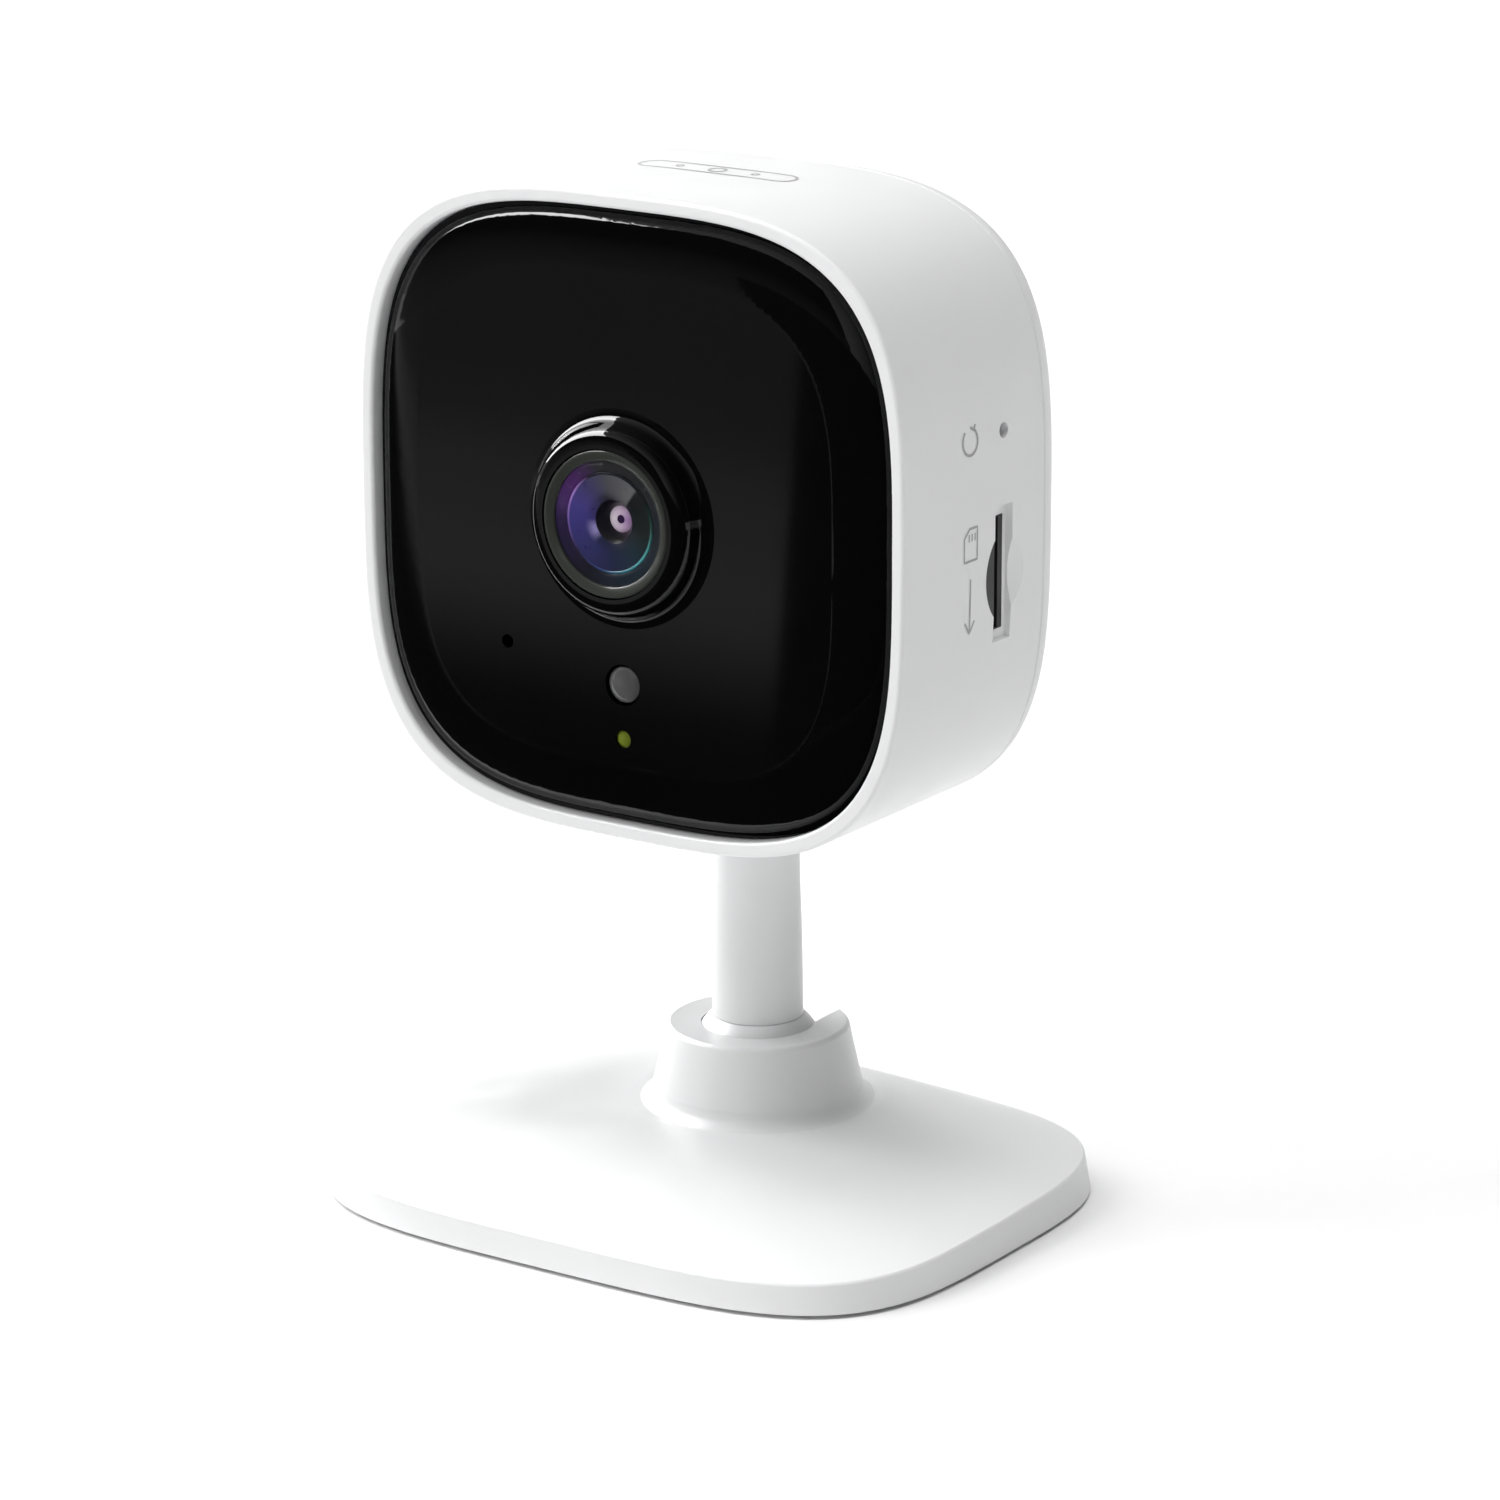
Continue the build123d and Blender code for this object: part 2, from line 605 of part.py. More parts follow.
def make_lens_inner_element():
    return lens_place * dome(4.18, 9.2, 10.2, 7.0)


def make_lens_holder():
    holder = block(-11, 11, -8, -2.6, LENS_Z - 7.5, LENS_Z + 7.5)
    holder -= rod_y(0, LENS_Z, 6.0 + FIT, -9, -3.2)
    return holder - rod_y(0, LENS_Z, 3.6, -9, 0)


def make_ir_cut_housing():
    """Tray behind the lens with the filter's slideway, open to the sensor."""
    housing = block(-11, 11, -2.6, BOARD_FRONT, LENS_Z - 7.5, LENS_Z + 7.5)
    housing -= block(-10.2, 10.2, -3, -1.5, LENS_Z - 4.6, LENS_Z + 4.6)
    return housing - block(-4.6, 4.6, -3, BOARD_FRONT + 1, LENS_Z - 4.0, LENS_Z + 4.0)


def make_ir_cut_actuator():
    coil = rod_x(-1.5, LENS_Z + 10.1, 2.4, -5, 5)
    cheeks = block(-6, -5, -3.4, BOARD_FRONT, LENS_Z + 7.5, LENS_Z + 12.7)
    cheeks += block(5, 6, -3.4, BOARD_FRONT, LENS_Z + 7.5, LENS_Z + 12.7)
    return coil + cheeks


def make_ir_cut_shuttle():
    """Sliding frame with two windows."""
    frame = block(-9.6, 3.4, -2.4, -1.7, LENS_Z - 4.2, LENS_Z + 4.2)
    frame -= block(-2.4, 2.4, -3, -1, LENS_Z - 3.0, LENS_Z + 3.0)
    return frame - block(-8.6, -3.8, -3, -1, LENS_Z - 3.0, LENS_Z + 3.0)


def make_ir_cut_filter():
    night = block(-8.6, -3.8, -2.3, -1.8, LENS_Z - 3.0, LENS_Z + 3.0)
    day = block(-2.4, 2.4, -2.3, -1.8, LENS_Z - 3.0, LENS_Z + 3.0)
    return joined([night, day])


def make_image_sensor():
    chip = block(-4.2, 4.2, 0.0, BOARD_FRONT, LENS_Z - 3.6, LENS_Z + 3.6)
    return chip - block(-3.2, 3.2, -0.5, 0.25, LENS_Z - 2.4, LENS_Z + 2.4)


# ---- head: electronics ----
def make_main_board():
    board = head_plate(BOARD_HALF, BOARD_FRONT, board_back)
    for x, z in corners(POST):
        board -= rod_y(x, HEAD_Z + z, 1.0, 0, 4)
    return board


def make_board_parts():
    """Chips, coils and connectors on both faces of the main board."""
    back = board_back
    parts = [
        block(-9, 3, back, back + 1.3, 70, 82),
        block(-18, -11, back, back + 1.0, 71, 80),
        block(-17, -12, back, back + 2.2, 55, 60),
        block(-17, -13, back, back + 1.6, 62.5, 66.5),
        block(7, 11, back, back + 1.2, 51, 56),
    ]
    for step in range(5):
        z = 84.5
        x = -10 + step * 4.5
        parts.append(block(x, x + 1.6, back, back + 0.8, z, z + 0.9))
    parts.append(block(-12.5, -5.5, BOARD_FRONT - 1.0, BOARD_FRONT, 59.0, 60.8))
    return joined(parts)


def board_screw(x, z):
    shank = rod_y(x, z, 0.88, -3.5, board_back + 0.1)
    head = rod_y(x, z, 1.8, board_back, board_back + 1.1)
    return shank + head - block(x - 1.2, x + 1.2, board_back + 0.7, 5, z - 0.2, z + 0.2)


def make_board_screws():
    return joined(board_screw(x, HEAD_Z + z) for x, z in ((-POST, -POST), (POST, POST)))


def make_shield_can():
    can = block(-19.5, 4.5, board_back, board_back + 1.9, 69, 83.5)
    return can - block(-19.3, 4.3, board_back - 1, board_back + 1.7, 69.2, 83.3)


def make_thermal_pad():
    return block(-9, 3, board_back + 1.9, board_back + 2.5, 70, 82)


def make_heat_spreader():
    """Folded aluminium plate behind the shield."""
    y0 = board_back + 2.5
    plate = block(-20, 12, y0, y0 + 0.8, 66.5, 85.4)
    return plate + block(-20, -19.2, y0, y0 + 3.0, 66.5, 85.4)


def make_ir_led_board():
    ring = rod_y(0, LENS_Z, 15.5, -10.9, -9.9)
    ring -= rod_y(0, LENS_Z, 8.0, -12, -8)
    return ring - rod_y(0, SENSOR_Z, SENSOR_R + 1.1, -12, -8)


def make_ir_leds():
    leds = []
    for step in range(8):
        angle = math.radians(22.5 + 45 * step)
        x = 12.0 * math.cos(angle)
        z = LENS_Z + 12.0 * math.sin(angle)
        leds.append(block(x - 1.5, x + 1.5, -11.9, -10.9, z - 1.5, z + 1.5) - rod_y(x, z, 1.1, -12, -11.6))
    return joined(leds)


def make_led_ribbon():
    """Flat cable from the LED board back to the main board."""
    ribbon = block(-12, -6, -9.9, -9.7, 59.7, 62.5)
    return ribbon + block(-12, -6, -9.9, BOARD_FRONT - 1.0, 59.7, 59.9)


def light_pipe(z, radius, front):
    """Clear rod with a rounded front and a collar behind the panel."""
    tip = front - radius * 0.35
    curve_r = (radius**2 + (radius * 0.35) ** 2) / (2 * radius * 0.35)
    ball = Pos(0, 0, front - curve_r) * Sphere(curve_r)
    rod = rod_z(0, 0, radius, -0.2, front) & (ball + rod_z(0, 0, radius + 1, -0.3, tip))
    collar = rod_z(0, 0, radius + 0.8, 9.0, 10.8)
    return Pos(0, 0, z) * Rot(90, 0, 0) * (rod + collar)


def make_light_sensor_guide():
    return light_pipe(SENSOR_Z, SENSOR_R, 14.1)


def make_status_led_guide():
    return light_pipe(LED_Z, LED_R, 13.82)


def make_mic_boot():
    boot = rod_y(MIC_X, MIC_Z, 2.2, -12.2, -10.5)
    return boot - rod_y(MIC_X, MIC_Z, MIC_HOLE_R, -13, -10)


def make_microphone():
    can = block(MIC_X - 1.9, MIC_X + 1.9, -10.5, -9.4, MIC_Z - 1.5, MIC_Z + 1.5)
    return can - rod_y(MIC_X, MIC_Z, 0.4, -11, -10.1)


def make_mic_board():
    return block(MIC_X - 3.2, MIC_X + 3.2, -9.4, -8.6, MIC_Z - 2.8, MIC_Z + 2.8)


def make_antenna():
    strip = block(-12, 12, -5, 5, 95.9, 96.2)
    return strip - block(-9, 9, -3, 1, 95, 97) - block(4, 6, 0, 6, 95, 97)


def make_card_socket():
    socket = block(12.5, 27.6, board_back, board_back + 1.9, CARD_Z - 6.6, CARD_Z + 6.6)
    socket -= block(13.3, 28, 2.95, 4.1, CARD_Z - 5.6, CARD_Z + 5.6)
    return socket - block(16, 21, 4.0, 5, CARD_Z - 3, CARD_Z + 3)


def make_card_bezel():
    """Dark liner that fills the window, with the card's slot in it."""
    bezel = bezel_block(0, BEZEL_BACK, HEAD_HALF - BEZEL_FACE - FIT)
    bezel += card_window(0.04, HEAD_HALF - BEZEL_FACE - 0.1, HEAD_HALF - 0.1)
    bezel -= card_pocket()
    return bezel - block(27, 31, 2.95, 3.65, CARD_Z - 5.2, CARD_Z + 5.2)


def make_reset_switch():
    body = block(20.5, 24.6, board_back, 4.7, RESET_Z - 2.2, RESET_Z + 2.2)
    return body - rod_x(RESET_Y, RESET_Z, 0.66, 23.1, 25)


def make_reset_plunger():
    return rod_x(RESET_Y, RESET_Z, 0.6, 23.6, 26.0)


def make_usb_socket():
    """Upright power inlet: a thin metal mouth with a tongue."""
    socket = block(-3.8, 3.8, board_back, 12.9, USB_Z - 1.4, USB_Z + 1.4)
    socket -= block(-3.45, 3.45, 7.4, 14, USB_Z - 1.05, USB_Z + 1.05)
    socket += block(-3.4, 3.4, board_back, 4.0, USB_Z - 2.4, USB_Z + 2.4)
    return socket + block(-2.4, 2.4, 7.3, 12.2, USB_Z + 0.1, USB_Z + 0.6)


# ---- head: sound ----
def make_speaker():
    """Round speaker: magnet, basket and a shallow cone that faces the grille."""
    profile = [(0, 6.6), (5.0, 6.6), (5.0, 8.8), (9.0, 9.2), (SPEAKER_R, 10.0)]
    profile += [(SPEAKER_R, SPEAKER_FRONT), (8.6, SPEAKER_FRONT), (7.6, 11.1), (3.2, 10.0), (0, 10.5)]
    return Pos(0, 0, SPEAKER_Z) * Rot(-90, 0, 0) * turned(profile)


def make_speaker_gasket():
    ring = rod_y(0, SPEAKER_Z, SPEAKER_R, SPEAKER_FRONT, HEAD_BACK - WALL)
    return ring - rod_y(0, SPEAKER_Z, 8.7, 11, 13)


NODES = {
    "base_shell": make_base_shell,
    "base_bottom_cover": make_base_bottom_cover,
    "foot_pad": make_foot_pad,
    "base_screws": make_base_screws,
    "ballast_plate": make_ballast_plate,
    "socket_cup": make_socket_cup,
    "socket_spring": make_socket_spring,
    "socket_retainer": make_socket_retainer,
    "socket_screws": make_socket_screws,
    "pivot_ball": make_pivot_ball,
    "swivel_washer": make_swivel_washer,
    "swivel_screw": make_swivel_screw,
    "stem": make_stem,
    "stem_clamp": make_stem_clamp,
    "stem_clamp_screws": make_stem_clamp_screws,
    "head_shell": make_head_shell,
    "rear_cover": make_rear_cover,
    "cover_screws": make_cover_screws,
    "front_panel": make_front_panel,
    "panel_gasket": make_panel_gasket,
    "lens_ring": make_lens_ring,
    "lens_front_element": make_lens_front_element,
    "lens_barrel": make_lens_barrel,
    "lens_inner_element": make_lens_inner_element,
    "lens_holder": make_lens_holder,
    "ir_cut_housing": make_ir_cut_housing,
    "ir_cut_actuator": make_ir_cut_actuator,
    "ir_cut_shuttle": make_ir_cut_shuttle,
    "ir_cut_filter": make_ir_cut_filter,
    "image_sensor": make_image_sensor,
    "main_board": make_main_board,
    "board_parts": make_board_parts,
    "board_screws": make_board_screws,
    "shield_can": make_shield_can,
    "thermal_pad": make_thermal_pad,
    "heat_spreader": make_heat_spreader,
    "ir_led_board": make_ir_led_board,
    "ir_leds": make_ir_leds,
    "led_ribbon": make_led_ribbon,
    "light_sensor_guide": make_light_sensor_guide,
    "status_led_guide": make_status_led_guide,
    "mic_boot": make_mic_boot,
    "microphone": make_microphone,
    "mic_board": make_mic_board,
    "antenna": make_antenna,
    "card_socket": make_card_socket,
    "card_bezel": make_card_bezel,
    "reset_switch": make_reset_switch,
    "reset_plunger": make_reset_plunger,
    "usb_socket": make_usb_socket,
    "speaker": make_speaker,
    "speaker_gasket": make_speaker_gasket,
}

os.makedirs("parts", exist_ok=True)
for name, make in NODES.items():
    export_step(make(), f"parts/{name}.step")
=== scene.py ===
import json
import math

import bmesh
import bpy
from mathutils import Matrix, Vector


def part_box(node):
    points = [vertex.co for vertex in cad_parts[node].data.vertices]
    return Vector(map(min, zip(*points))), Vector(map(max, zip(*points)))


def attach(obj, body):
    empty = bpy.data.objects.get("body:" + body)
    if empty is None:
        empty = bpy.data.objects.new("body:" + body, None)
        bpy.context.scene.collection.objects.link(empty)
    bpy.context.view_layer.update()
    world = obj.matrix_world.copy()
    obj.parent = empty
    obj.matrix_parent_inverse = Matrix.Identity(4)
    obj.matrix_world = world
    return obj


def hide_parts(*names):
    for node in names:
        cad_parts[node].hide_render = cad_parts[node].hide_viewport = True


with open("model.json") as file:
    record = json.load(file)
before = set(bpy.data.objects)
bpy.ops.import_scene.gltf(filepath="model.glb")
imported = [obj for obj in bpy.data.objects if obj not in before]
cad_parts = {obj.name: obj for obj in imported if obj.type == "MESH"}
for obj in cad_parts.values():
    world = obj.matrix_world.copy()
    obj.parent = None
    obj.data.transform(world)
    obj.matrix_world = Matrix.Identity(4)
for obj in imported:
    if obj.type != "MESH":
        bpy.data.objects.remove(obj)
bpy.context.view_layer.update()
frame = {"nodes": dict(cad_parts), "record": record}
scene = bpy.context.scene
MM = 0.001


# ---- node helpers ----
def new_material(name):
    """An empty node material with its Principled shader wired to the output."""
    material = bpy.data.materials.new(name)
    material.use_nodes = True
    tree = material.node_tree
    tree.nodes.clear()
    output = tree.nodes.new("ShaderNodeOutputMaterial")
    shader = tree.nodes.new("ShaderNodeBsdfPrincipled")
    tree.links.new(shader.outputs["BSDF"], output.inputs["Surface"])
    return material, tree, shader


def noise(tree, scale, detail=3.0, stretch=(1, 1, 1)):
    """Object-space noise, with scale in features per metre."""
    place = tree.nodes.new("ShaderNodeTexCoord")
    mapping = tree.nodes.new("ShaderNodeMapping")
    mapping.inputs["Scale"].default_value = stretch
    texture = tree.nodes.new("ShaderNodeTexNoise")
    texture.inputs["Scale"].default_value = scale
    texture.inputs["Detail"].default_value = detail
    tree.links.new(place.outputs["Object"], mapping.inputs["Vector"])
    tree.links.new(mapping.outputs["Vector"], texture.inputs["Vector"])
    return texture.outputs["Fac"]


def ramp(tree, value, low, high):
    """Colour between low and high, following a 0 to 1 value."""
    node = tree.nodes.new("ShaderNodeValToRGB")
    node.color_ramp.elements[0].position = 0.3
    node.color_ramp.elements[1].position = 0.7
    node.color_ramp.elements[0].color = (*low, 1)
    node.color_ramp.elements[1].color = (*high, 1)
    tree.links.new(value, node.inputs["Fac"])
    return node.outputs["Color"]


def spread(tree, value, low, high):
    """Number between low and high, following a 0 to 1 value."""
    node = tree.nodes.new("ShaderNodeMapRange")
    node.inputs["From Min"].default_value = 0.3
    node.inputs["From Max"].default_value = 0.7
    node.inputs["To Min"].default_value = low
    node.inputs["To Max"].default_value = high
    tree.links.new(value, node.inputs["Value"])
    return node.outputs["Result"]


def bump(tree, shader, height, depth, strength=1.0):
    """Surface relief of the given depth in metres."""
    node = tree.nodes.new("ShaderNodeBump")
    node.inputs["Strength"].default_value = strength
    node.inputs["Distance"].default_value = depth
    tree.links.new(height, node.inputs["Height"])
    tree.links.new(node.outputs["Normal"], shader.inputs["Normal"])


def moulded(name, low, high, rough, grain=9000, depth=2e-6, ior=1.46):
    """Moulded plastic: faint colour drift, roughness drift and a fine skin texture."""
    material, tree, shader = new_material(name)
    tree.links.new(ramp(tree, noise(tree, 60), low, high), shader.inputs["Base Color"])
    tree.links.new(spread(tree, noise(tree, 220), rough * 0.9, rough * 1.1), shader.inputs["Roughness"])
    shader.inputs["IOR"].default_value = ior
    bump(tree, shader, noise(tree, grain, 2.0), depth)
    return material


def metal(name, low, high, rough, stretch=(1, 1, 30)):
    """Brushed metal with fine streaks."""
    material, tree, shader = new_material(name)
    streak = noise(tree, 900, 4.0, stretch)
    tree.links.new(ramp(tree, streak, low, high), shader.inputs["Base Color"])
    tree.links.new(spread(tree, streak, rough * 0.8, rough * 1.25), shader.inputs["Roughness"])
    shader.inputs["Metallic"].default_value = 1.0
    bump(tree, shader, streak, 3e-6)
    return material


MATERIALS = {
    "white_plastic": moulded("white_shell", (0.80, 0.803, 0.808), (0.815, 0.818, 0.822), 0.34),
    "black_panel": moulded("black_window", (0.0012, 0.0012, 0.0013), (0.0016, 0.0016, 0.0017), 0.05,
                           depth=1e-7, ior=1.38),
    "lens_trim": moulded("lens_trim", (0.03, 0.033, 0.028), (0.036, 0.04, 0.034), 0.2),
    "black_plastic": moulded("black_plastic", (0.018, 0.018, 0.019), (0.026, 0.026, 0.027), 0.5, depth=8e-6),
    "foot_rubber": moulded("foot_rubber", (0.03, 0.03, 0.031), (0.045, 0.045, 0.046), 0.8, 4000, 2e-5),
    "seal_rubber": moulded("seal_rubber", (0.03, 0.03, 0.031), (0.05, 0.05, 0.052), 0.85, 3000, 3e-5),
    "light_guide": moulded("light_guide", (0.06, 0.062, 0.06), (0.09, 0.092, 0.09), 0.12),
    "ball_nylon": moulded("ball_nylon", (0.62, 0.62, 0.62), (0.66, 0.66, 0.66), 0.4),
    "steel": metal("plated_steel", (0.5, 0.5, 0.49), (0.62, 0.62, 0.61), 0.3),
    "aluminium": metal("aluminium_plate", (0.7, 0.71, 0.72), (0.8, 0.81, 0.82), 0.35, (30, 1, 1)),
    "circuit_board": moulded("solder_mask", (0.008, 0.07, 0.03), (0.012, 0.1, 0.045), 0.3),
    "chip_black": moulded("chip_epoxy", (0.02, 0.02, 0.021), (0.03, 0.03, 0.032), 0.6),
    "led_cream": moulded("led_ceramic", (0.6, 0.55, 0.35), (0.7, 0.64, 0.42), 0.4),
    "copper_film": metal("copper_film", (0.6, 0.33, 0.14), (0.72, 0.42, 0.2), 0.35),
    "lens_glass": moulded("lens_glass_coated", (0.01, 0.01, 0.02), (0.012, 0.012, 0.022), 0.05),
    "filter_glass": moulded("filter_glass", (0.25, 0.05, 0.05), (0.3, 0.06, 0.06), 0.1),
}


NODE_MATERIALS = {
    "status_led_guide": moulded("led_green", (0.10, 0.13, 0.012), (0.16, 0.2, 0.02), 0.12),
}


def dress_cad_nodes():
    """Every CAD node takes its own material, or else the material of its slot."""
    for part in frame["record"]["subparts"]:
        node = frame["nodes"][part["node"]]
        node.data.materials.clear()
        node.data.materials.append(NODE_MATERIALS.get(part["node"]) or MATERIALS[part["material_slot"]])


dress_cad_nodes()


# ---- shapes that repeat ----
def new_piece(name, verts, faces, material, body="head", place=(0, 0, 0)):
    """A smooth-shaded mesh that rides on a CAD body."""
    mesh = bpy.data.meshes.new(name)
    mesh.from_pydata(verts, [], faces)
    mesh.validate()
    mesh.materials.append(material)
    piece = bpy.data.objects.new(name, mesh)
    piece.location = place
    scene.collection.objects.link(piece)
    mesh.shade_smooth()
    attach(piece, body)
    return piece


def turned(name, profile, material, place, segments=120):
    """Lathe about Y from (radius, depth) points in millimetres; depth runs back from place."""
    verts = []
    faces = []
    for radius, depth in profile:
        for step in range(segments):
            angle = 2 * math.pi * step / segments
            verts.append((radius * MM * math.cos(angle), depth * MM, radius * MM * math.sin(angle)))
    for row in range(len(profile) - 1):
        for step in range(segments):
            follow = (step + 1) % segments
            near = row * segments
            far = near + segments
            faces.append((near + step, near + follow, far + follow, far + step))
    piece = new_piece(name, verts, faces, material, "head", place)
    clean = bmesh.new()
    clean.from_mesh(piece.data)
    bmesh.ops.remove_doubles(clean, verts=clean.verts, dist=1e-7)
    clean.to_mesh(piece.data)
    clean.free()
    return piece


def arc(centre, radius, start, end, steps=12):
    """Points on a circle, angles in degrees."""
    points = []
    for step in range(steps + 1):
        angle = math.radians(start + (end - start) * step / steps)
        points.append((centre[0] + radius * math.cos(angle), centre[1] + radius * math.sin(angle)))
    return points


STROKE_STEP = 0.3


def stroke(points, width, closed=False):
    """Flat ribbon of quads along a line of 2-D points, in short steps so that it can follow a curved face."""
    ends = [Vector(p) for p in points]
    pairs = list(zip(ends, ends[1:] + ends[:1])) if closed else list(zip(ends, ends[1:]))
    line = []
    for start, end in pairs:
        count = max(1, round((end - start).length / STROKE_STEP))
        line += [start.lerp(end, step / count) for step in range(count)]
    if not closed:
        line.append(ends[-1])
    count = len(line)
    verts = []
    for index, point in enumerate(line):
        before = line[(index - 1) % count] if closed or index > 0 else point
        after = line[(index + 1) % count] if closed or index < count - 1 else point
        along = (after - before).normalized()
        side = Vector((-along.y, along.x)) * width / 2
        verts += [point + side, point - side]
    last = count if closed else count - 1
    faces = []
    for index in range(last):
        near = 2 * index
        far = 2 * ((index + 1) % count)
        faces.append((near, near + 1, far + 1, far))
    return verts, faces


# ---- lens: coated optics behind a clear front glass, their colours holding painted reflections and highlights ----
ring_low, ring_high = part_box("lens_ring")
LENS_PLACE = Vector(((ring_low.x + ring_high.x) / 2, ring_low.y, (ring_low.z + ring_high.z) / 2))


def angle_and_radius(tree):
    """Angle about the lens axis as 0 to 1 from -X through -Z, +X and +Z, and the radius in millimetres."""
    place = tree.nodes.new("ShaderNodeTexCoord")
    split = tree.nodes.new("ShaderNodeSeparateXYZ")
    tree.links.new(place.outputs["Object"], split.inputs["Vector"])
    angle = tree.nodes.new("ShaderNodeMath")
    angle.operation = "ARCTAN2"
    tree.links.new(split.outputs["Z"], angle.inputs[0])
    tree.links.new(split.outputs["X"], angle.inputs[1])
    share = tree.nodes.new("ShaderNodeMapRange")
    share.inputs["From Min"].default_value = -math.pi
    share.inputs["From Max"].default_value = math.pi
    tree.links.new(angle.outputs["Value"], share.inputs["Value"])
    flat = tree.nodes.new("ShaderNodeVectorMath")
    flat.operation = "MULTIPLY"
    flat.inputs[1].default_value = (1 / MM, 0, 1 / MM)
    tree.links.new(place.outputs["Object"], flat.inputs[0])
    length = tree.nodes.new("ShaderNodeVectorMath")
    length.operation = "LENGTH"
    tree.links.new(flat.outputs["Vector"], length.inputs[0])
    return share.outputs["Result"], length.outputs["Value"]


def colour_stops(tree, value, stops):
    """Colour ramp from (degrees, colour) stops; degrees run from -180 to 180, zero at +X, towards +Z."""
    node = tree.nodes.new("ShaderNodeValToRGB")
    ramp_stops = node.color_ramp.elements
    while len(ramp_stops) < len(stops):
        ramp_stops.new(0.5)
    for element, (degrees, colour) in zip(ramp_stops, stops):
        element.position = (degrees + 180) / 360
        element.color = (*colour, 1)
    tree.links.new(value, node.inputs["Fac"])
    return node.outputs["Color"]


def fade(tree, value, start, end):
    """1 at start, falling to 0 at end."""
    node = tree.nodes.new("ShaderNodeMapRange")
    node.interpolation_type = "SMOOTHSTEP"
    node.inputs["From Min"].default_value = start
    node.inputs["From Max"].default_value = end
    node.inputs["To Min"].default_value = 1
    node.inputs["To Max"].default_value = 0
    tree.links.new(value, node.inputs["Value"])
    return node.outputs["Result"]


def mixed(tree, share, low, high):
    """Colour mix; low and high are sockets or colours."""
    node = tree.nodes.new("ShaderNodeMix")
    node.data_type = "RGBA"
    tree.links.new(share, node.inputs["Factor"])
    for socket, colour in (("A", low), ("B", high)):
        target = [i for i in node.inputs if i.name == socket and i.type == "RGBA"][0]
        if isinstance(colour, tuple):
            target.default_value = (*colour, 1)
        else:
            tree.links.new(colour, target)
    return [o for o in node.outputs if o.type == "RGBA"][0]


def coating_with_painted_reflection(name, stops, rough=0.25, level=0.25, centre=None):
    """Coated glass or metal whose tint changes round the lens axis, and near the middle if centre says so;
    the changes round the axis are painted reflections and highlights.
    """
    material, tree, shader = new_material(name)
    angle, radius = angle_and_radius(tree)
    tint = colour_stops(tree, angle, stops)
    if centre:
        colours, start, end = centre
        inner = colour_stops(tree, angle, colours)
        tint = mixed(tree, fade(tree, radius, start, end), tint, inner)
    tree.links.new(tint, shader.inputs["Base Color"])
    tree.links.new(spread(tree, noise(tree, 900), rough * 0.9, rough * 1.1), shader.inputs["Roughness"])
    shader.inputs["Specular IOR Level"].default_value = level
    return material


def clear_glass():
    """Front glass: mostly clear, with a faint violet anti-glare film."""
    material, tree, shader = new_material("lens_front_glass")
    film = ramp(tree, noise(tree, 300), (0.02, 0.018, 0.04), (0.024, 0.02, 0.05))
    tree.links.new(film, shader.inputs["Base Color"])
    shader.inputs["Alpha"].default_value = 0.1
    shader.inputs["Roughness"].default_value = 0.03
    return material


# Painted reflections and highlights on the coatings, round the lens axis: (degrees, colour), with zero at +X,
# 90 at +Z and 180 at -X.
BLACK_GREEN = (0.008, 0.014, 0.01)
NAVY = (0.014, 0.018, 0.06)
# Second element: blue-violet, navy and green-black coating tints whose brightness round the axis is painted
# reflection, and a grey wedge from 51 to 95 degrees that is a painted reflection of a bright window.
BOWL_PAINTED_REFLECTION_STOPS = (
    (-180, (0.045, 0.035, 0.22)), (-140, (0.03, 0.03, 0.14)), (-90, NAVY), (-45, (0.008, 0.025, 0.035)),
    (-10, BLACK_GREEN), (47, (0.01, 0.012, 0.011)), (51, (0.13, 0.13, 0.135)), (95, (0.075, 0.075, 0.085)),
    (125, (0.05, 0.045, 0.13)), (160, (0.06, 0.045, 0.25)), (180, (0.045, 0.035, 0.22)),
)
# Middle of the second element: the same painted reflections, and a painted lilac glint from -162 to -150
# degrees.
GLINT_STOPS = (
    (-180, (0.045, 0.035, 0.2)), (-162, (0.3, 0.26, 0.55)), (-150, (0.3, 0.26, 0.55)), (-130, NAVY),
    (-10, BLACK_GREEN), (47, (0.01, 0.012, 0.011)), (51, (0.12, 0.12, 0.125)), (110, (0.03, 0.03, 0.04)),
    (180, (0.045, 0.035, 0.2)),
)
# Glass edge: the purple at the upper left is a painted reflection; dark elsewhere.
EDGE_PAINTED_REFLECTION_STOPS = (
    (-180, (0.03, 0.016, 0.07)), (-120, (0.012, 0.011, 0.018)), (-60, (0.01, 0.02, 0.03)),
    (60, (0.02, 0.02, 0.019)), (105, (0.03, 0.03, 0.032)), (135, (0.075, 0.02, 0.13)),
    (165, (0.07, 0.025, 0.14)), (180, (0.03, 0.016, 0.07)),
)
# Retainer ring: a painted lilac highlight arc at the left and a painted teal highlight arc at the lower
# right.
ARC_PAINTED_HIGHLIGHT_STOPS = (
    (-180, (0.2, 0.12, 0.42)), (-140, (0.03, 0.025, 0.08)), (-100, (0.03, 0.05, 0.16)),
    (-60, (0.05, 0.25, 0.3)), (-35, (0.1, 0.42, 0.42)), (0, (0.03, 0.1, 0.07)), (30, BLACK_GREEN),
    (120, (0.02, 0.018, 0.03)), (150, (0.4, 0.22, 0.65)), (180, (0.2, 0.12, 0.42)),
)
# Pupil ring: painted highlight, white-pink at the left, fading to a darker lilac at the right.
PUPIL_PAINTED_HIGHLIGHT_STOPS = (
    (-180, (0.95, 0.85, 0.95)), (-60, (0.6, 0.42, 0.62)), (0, (0.42, 0.25, 0.5)),
    (90, (0.8, 0.6, 0.8)), (180, (0.95, 0.85, 0.95)),
)
# Radii over which the painted glint colours take over from the outer second-element colours.
GLINT_START = 2.2
GLINT_END = 3.1

